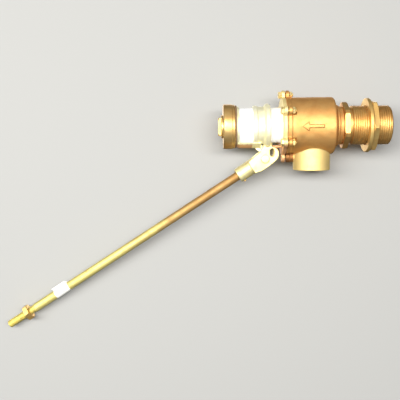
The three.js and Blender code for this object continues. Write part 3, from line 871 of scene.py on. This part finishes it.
shaped(
    "backnut_turned", nut, BRASS_TURNED, "brass", ["backnut"], "backnut", columns=144,
    cuts=[
        flats(6, 50.5, NUT_CORNER, 0.6, 19.9, 25.0, 24.5),
        thread(PIPE_PITCH, 1.0, 15.8, 24.4, 21.0, 21.3, inward=False),
    ],
    angles=corner_angles(6, NUT_CORNER),
)
shaped(
    "seat_ring_turned",
    rounded(
        [
            (-20.2, 10, 0.3), (-33, 10, 0.4), (-33, 11.2, 0.4), (-30.5, 13.2, 0.4),
            (-30.5, 16.5, 0.3), (-26.7, 16.5, 0.3), (-26.7, 12, 0.3), (-20.2, 12, 0.3),
        ],
    ),
    BRASS_TURNED, "brass", ["seat_ring"],
)

# ---- flange joint ---------------------------------------------------------
gasket = [(-71.2, 25.2), (-71.2, 30.3), (-70.58, 30.3), (-70.58, 25.2)]
shaped("flange_gasket_ring", rounded(gasket, 0.15), FIBRE, "fibre", ["flange_gasket"])
bolt = dense(
    rounded(
        [
            (-78.4, 0), (-78.4, 3.0, 0.3), (-77.9, 4.1, 0.3), (-75.2, 4.1, 0.2),
            (-75.2, 2.35, 0.1), (-63.0, 2.35, 0.1), (-62.4, 1.75, 0.2), (-62.4, 0),
        ],
        0.2,
    ),
    0.22,
)
nut_ring = dense(
    rounded(
        [
            (-66.4, 2.5), (-66.4, 3.3, 0.1), (-66.0, 4.1, 0.2), (-64.2, 4.1, 0.2),
            (-63.8, 3.3, 0.1), (-63.8, 2.5),
        ],
        0.15,
    ),
    0.25,
)
for i, (spot, (y, z)) in enumerate(zip(SPOTS, BOLTS)):
    if i == BLIND:
        continue
    corner = 0.35 * i
    shaped(
        f"flange_screw_{spot}_bolt", bolt, BOLT_BRASS, "brass", [f"flange_screw_{spot}"],
        columns=48, angles=corner_angles(6, corner), move=(0, y, z),
        cuts=[
            flats(6, 7, corner, 0.25, -79, -75.1, 2.6),
            thread(0.8, 0.42, -74, -62.4, 2.2, 2.4),
        ],
    )
    shaped(
        f"flange_nut_{spot}_hex", nut_ring, BOLT_BRASS, "brass", [f"flange_nut_{spot}"],
        columns=48, cuts=[flats(6, 7, 0.2 * i, 0.25, -67, -63, 2.8)],
        angles=corner_angles(6, 0.2 * i), move=(0, y, z),
    )


def blind_screw_field(p):
    x, y, z = p
    rho = np.hypot(y, z + 33)
    head = np.maximum((rho - 4.2 + x + 74.9) * 0.7, -74.9 - x)
    shank = np.maximum(rho - 2.35, within(x, -74.5, -62.8))
    slot = np.maximum(np.abs(z + 33) - 0.4, x + 74.1)
    return smax(smin(np.maximum(head, rho - 4.1), shank, 0.2), -slot, 0.15)


cast(
    "flange_screw_bottom_slotted", blind_screw_field, (-75.5, -4.6, -37.6),
    (-62.3, 4.6, -28.4), 0.18, BRASS_TURNED, "brass", ["flange_screw_bottom"],
)

# ---- end cap --------------------------------------------------------------
cap = dense(
    rounded(
        [
            (-139.9, 0), (-139.9, 12.4, 0.6), (-137.6, 12.4, 0.5), (-137.6, 24, 1.2),
            (-128.4, 24, 0.4), (-127.9, 23.5, 0.3), (-125.9, 23.5, 0.5), (-125.2, 22.9, 0.3),
            (-125.2, 22.2, 0.2), (-134.4, 22.2, 0.3), (-134.4, 0),
        ],
    ),
    0.6,
)
RIB_AT = math.radians(-67)
shaped(
    "end_cap_turned", cap, CAP_BRONZE, "bronze", ["end_cap"], columns=180,
    cuts=[ribs(2, RIB_AT, 0.55, 0.3, -137.1, -128.3, 23.6)],
    angles=corner_angles(2, RIB_AT, 0.05),
)
SQUARE_AT = math.radians(45)
knob = dense(
    rounded([(-142.9, 0), (-142.9, 11.6, 0.8), (-141.6, 13.9, 0.3), (-139.8, 13.9), (-139.8, 0)]),
    0.4,
)
shaped(
    "end_cap_square", knob, BRASS_TURNED, "bronze", ["end_cap"], columns=72,
    cuts=[flats(4, 19.4, SQUARE_AT, 0.7)], angles=corner_angles(4, SQUARE_AT, 0.12),
)
seal = [(-125.1, 22.1), (-125.1, 22.9), (-123.4, 22.9), (-123.4, 22.1)]
shaped("cap_washer_ring", rounded(seal), SEAL, "rubber", ["cap_washer"])

# ---- float arm ------------------------------------------------------------
arm_rod = dense(
    rounded(
        [
            (ROD_START, 0), (ROD_START, ROD_R, 0.5), (ROD_SHOULDER, ROD_R, 0.3),
            (ROD_SHOULDER + 0.6, ROD_THREAD_R, 0.2), (ROD_TIP - 1, ROD_THREAD_R, 0.3),
            (ROD_TIP, ROD_THREAD_R - 1, 0.3), (ROD_TIP, 0),
        ],
    ),
    0.25,
)
arm_rod = [
    q for i, q in enumerate(arm_rod)
    if q[0] > ROD_SHOULDER - 2 or q[0] < 20 or i % 12 == 0
]
shaped(
    "lever_rod_drawn", arm_rod, ROD_BRASS, "rod_brass", ["lever_rod"], "lever", ARM,
    columns=48, cuts=[thread(1.25, 0.72, ROD_SHOULDER + 0.8, ROD_TIP - 0.4, 4.0, 4.4)],
)
lock = dense(
    rounded(
        [
            (309.5, 4.45), (309.5, 7.2, 0.3), (310.5, 9.1, 0.2), (314.5, 9.1, 0.2),
            (315.5, 7.2, 0.3), (315.5, 4.45),
        ],
        0.3,
    ),
    0.4,
)
shaped(
    "rod_locknut_hex", lock, BRASS_TURNED, "brass", ["rod_locknut"], "locknut", ARM,
    columns=72, cuts=[flats(6, 15.6, 0, 0.3, 309, 316, 6.5)], angles=corner_angles(6, 0),
)
grub = rounded([(-2.1, 0), (-2.1, 1.6, 0.3), (2.1, 1.6, 0.3), (1.9, 0)])
points, faces = turned(dense(grub, 0.3), 32, [thread(0.6, 0.22, -2, 1.9, 1.5, 1.7)])
points, faces = used(points, faces)
points = np.stack([points[:, 1] + 30.5, points[:, 2], points[:, 0] + 7.05], -1)
piece("rod_set_screw_grub", points, faces, BRASS_TURNED, "lever", ["rod_set_screw"], ARM)


def wrapped_label():
    """Paper once round the rod, its two ends stuck together as a short slanting flag."""
    turns, across, thick = 60, 16, 0.16
    ring, tail = ROD_R + 0.12, 3.0
    first, length_round, lift = math.radians(-52), math.radians(332), math.radians(14)
    label_at, label_long = 257.5, 17.5
    lines = []
    for k in range(turns + 1):
        t = first + length_round * k / turns
        lines.append((ring * math.cos(t), ring * math.sin(t), 0.0))
    for step in range(1, 7):
        out = tail * step / 6
        a = first + length_round + lift * step / 6
        r = ring + out
        lines.append((r * math.cos(a), r * math.sin(a), out))
    points, faces = [], []
    for level in (0, thick):
        for n, o, out in lines:
            length = math.hypot(n, o)
            for j in range(across + 1):
                s = label_at + label_long * j / across + out * 0.9
                ripple = 0.05 * math.sin(j * 1.3) * (1 if out > 0 else 0)
                f = (length + level + ripple) / length
                points.append((s, n * f, o * f))
    wide, sheet = across + 1, len(lines) * (across + 1)
    for i in range(len(lines) - 1):
        for j in range(across):
            q = (i * wide + j, i * wide + j + 1, (i + 1) * wide + j + 1, (i + 1) * wide + j)
            faces.append(q)
            faces.append(tuple(v + sheet for v in reversed(q)))
    rim = list(range(wide))
    rim += [i * wide + across for i in range(1, len(lines))]
    rim += [(len(lines) - 1) * wide + j for j in range(across - 1, -1, -1)]
    rim += [i * wide for i in range(len(lines) - 2, 0, -1)]
    for k, v in enumerate(rim):
        w = rim[(k + 1) % len(rim)]
        faces.append((v, w, w + sheet, v + sheet))
    return points, faces


points, faces = wrapped_label()
piece("rod_label_paper", points, faces, PAPER, "lever", ["rod_label"], ARM)


# ---- fulcrum pin ----------------------------------------------------------
pin = rounded(
    [
        (-11, 0), (-11, 4.6, 0.8), (-8.9, 4.6, 0.3), (-8.9, 3, 0.1), (12.4, 3, 0.2),
        (13, 2.4, 0.2), (13, 0),
    ],
    0.2,
)
points, faces = used(*turned(pin, 48))
points = np.stack([points[:, 2] + PIVOT[0], points[:, 0], points[:, 1] + PIVOT[1]], -1)
piece("fulcrum_pin_turned", points, faces, PALE_BRASS, "valve", ["fulcrum_pin"])


def bent_wire(path, radius, ring=12):
    """A tube of round wire along a path of points, closed at both ends."""
    path = [Vector(q) for q in path]
    points, faces = [], []
    across = Vector((0, 1, 0))
    for i, at in enumerate(path):
        ahead = (path[min(i + 1, len(path) - 1)] - path[max(i - 1, 0)]).normalized()
        a = (across - ahead * across.dot(ahead)).normalized()
        b = ahead.cross(a)
        for k in range(ring):
            t = 2 * math.pi * k / ring
            points.append(at + (a * math.cos(t) + b * math.sin(t)) * radius)
    for i in range(len(path) - 1):
        for k in range(ring):
            m = (k + 1) % ring
            faces.append((i * ring + k, i * ring + m, (i + 1) * ring + m, (i + 1) * ring + k))
    faces.append(tuple(range(ring)))
    faces.append(tuple(reversed(range((len(path) - 1) * ring, len(path) * ring))))
    return [tuple(q) for q in points], faces


EYE_R, PIN_Y = 1.5, 10.8
eye = [
    (
        PIVOT[0] + EYE_R * math.sin(math.radians(a)), PIN_Y,
        PIVOT[1] + 5.4 - EYE_R * math.cos(math.radians(a)),
    )
    for a in range(20, 341, 16)
]
left = [(PIVOT[0] - 0.36, PIN_Y, PIVOT[1] + z) for z in (3.6, 2, 0, -2, -4)]
left += [(PIVOT[0] - 0.7, PIN_Y, PIVOT[1] - 5), (PIVOT[0] - 1.7, PIN_Y, PIVOT[1] - 6.1)]
right = [(PIVOT[0] + 0.36, PIN_Y, PIVOT[1] + z) for z in (-4, -2, 0, 2, 3.6)]
right = [(PIVOT[0] + 1.4, PIN_Y, PIVOT[1] - 5.9), (PIVOT[0] + 0.6, PIN_Y, PIVOT[1] - 5)] + right
points, faces = bent_wire(right + eye + left, 0.34)
piece("split_pin_wire", points, faces, STEEL, "valve", ["split_pin"])

# ---- stage, light and camera ----------------------------------------------
ROLL = math.radians(7)  # the valve lies rolled back on its side, the arm's tip on the floor
CAMERA = Vector((-163.5, -749.0, 12.7)) * MM
forward = Vector((0, math.cos(ROLL), -math.sin(ROLL)))
lean = math.radians(0.7)
upward = Vector((0, math.sin(ROLL), math.cos(ROLL)))
right_way = Vector((math.cos(lean), 0, 0)) - upward * math.sin(lean)
up_way = upward * math.cos(lean) + Vector((1, 0, 0)) * math.sin(lean)


def facing(at, ahead, up):
    """A matrix whose -Z looks ahead and whose Y is as near to up as it can be."""
    back = -ahead.normalized()
    x = up.cross(back).normalized()
    y = back.cross(x)
    return Matrix(
        (
            (x.x, y.x, back.x, at.x),
            (x.y, y.y, back.y, at.y),
            (x.z, y.z, back.z, at.z),
            (0, 0, 0, 1),
        )
    )


camera = bpy.data.cameras.new("camera")
camera.lens = 62.1
camera.sensor_width = 36
camera_object = bpy.data.objects.new("camera", camera)
bpy.context.scene.collection.objects.link(camera_object)
camera_object.matrix_world = facing(CAMERA, forward, up_way)
bpy.context.scene.camera = camera_object

floor_nodes = Nodes("floor_paint")
floor_nodes.shader.inputs["Base Color"].default_value = (0.36, 0.36, 0.356, 1.0)
floor_nodes.shader.inputs["Roughness"].default_value = 0.9
clear = floor_nodes.tree.nodes.new("ShaderNodeBsdfTransparent")
either = floor_nodes.tree.nodes.new("ShaderNodeMixShader")
seen_from = floor_nodes.tree.nodes.new("ShaderNodeNewGeometry")
floor_nodes.join(seen_from.outputs["Backfacing"], either.inputs[0])
floor_nodes.join(floor_nodes.shader.outputs[0], either.inputs[1])
floor_nodes.join(clear.outputs[0], either.inputs[2])
output = floor_nodes.tree.nodes["Material Output"]
floor_nodes.join(either.outputs[0], output.inputs["Surface"])
floor_mesh = bpy.data.meshes.new("floor")
half = 3.0
floor_mesh.from_pydata(
    [(-half, -half, 0), (half, -half, 0), (half, half, 0), (-half, half, 0)],
    [], [(0, 1, 2, 3)],
)
floor_mesh.materials.append(floor_nodes.material)
floor = bpy.data.objects.new("floor", floor_mesh)
bpy.context.scene.collection.objects.link(floor)
middle = Vector((-0.16, 0, -0.07))
floor_at = middle + forward * (0.0353 - middle.dot(forward))
floor.matrix_world = facing(floor_at, forward, upward)
floor.visible_shadow = False
floor.visible_glossy = False
floor.visible_diffuse = False


def softbox(name, direction, distance, size, power, tint=(1, 1, 1)):
    """An area light, as wide and high as size says, that faces the middle of the valve."""
    data = bpy.data.lights.new(name, "AREA")
    data.shape = "ELLIPSE"
    data.size, data.size_y = size
    data.energy = power
    data.color = tint
    lamp = bpy.data.objects.new(name, data)
    bpy.context.scene.collection.objects.link(lamp)
    way = Vector(direction).normalized()
    lamp.matrix_world = facing(middle + way * distance, -way, upward)
    return lamp


front = -forward + upward * 0.13 - right_way * 0.2
softbox("key", front, 1.5, (3.0, 0.36), 58, (1.0, 0.99, 0.95))
softbox("sky", -forward * 0.35 + upward, 1.4, (1.2, 1.2), 0.7)
softbox("back", forward + upward * 0.3, 1.6, (2.0, 1.4), 16)

# The room is bright in front of the valve, where the light comes from, and dim behind it.
# Where the camera sees past the floor, it is a plain pale grey.
world = bpy.data.worlds.new("room")
world.use_nodes = True
tree = world.node_tree
way = tree.nodes.new("ShaderNodeTexCoord").outputs["Generated"]
ahead = tree.nodes.new("ShaderNodeVectorMath")
ahead.operation = "DOT_PRODUCT"
ahead.inputs[1].default_value = -forward * 0.95 + upward * 0.2
tree.links.new(way, ahead.inputs[0])
ramp = tree.nodes.new("ShaderNodeMapRange")
for name, number in (("From Min", -0.5), ("From Max", 0.8), ("To Min", 0.09), ("To Max", 0.3)):
    ramp.inputs[name].default_value = number
tree.links.new(ahead.outputs["Value"], ramp.inputs["Value"])
seen = tree.nodes.new("ShaderNodeLightPath").outputs["Is Camera Ray"]
bright = tree.nodes.new("ShaderNodeMath")
bright.operation = "MAXIMUM"
plain = tree.nodes.new("ShaderNodeMath")
plain.operation = "MULTIPLY"
plain.inputs[1].default_value = 0.72
tree.links.new(seen, plain.inputs[0])
tree.links.new(ramp.outputs["Result"], bright.inputs[0])
tree.links.new(plain.outputs["Value"], bright.inputs[1])
tree.links.new(bright.outputs["Value"], tree.nodes["Background"].inputs["Strength"])
tree.nodes["Background"].inputs["Color"].default_value = (1, 0.99, 0.97, 1)
bpy.context.scene.world = world
bpy.context.scene.view_settings.view_transform = "Standard"
bpy.context.scene.view_settings.look = "None"
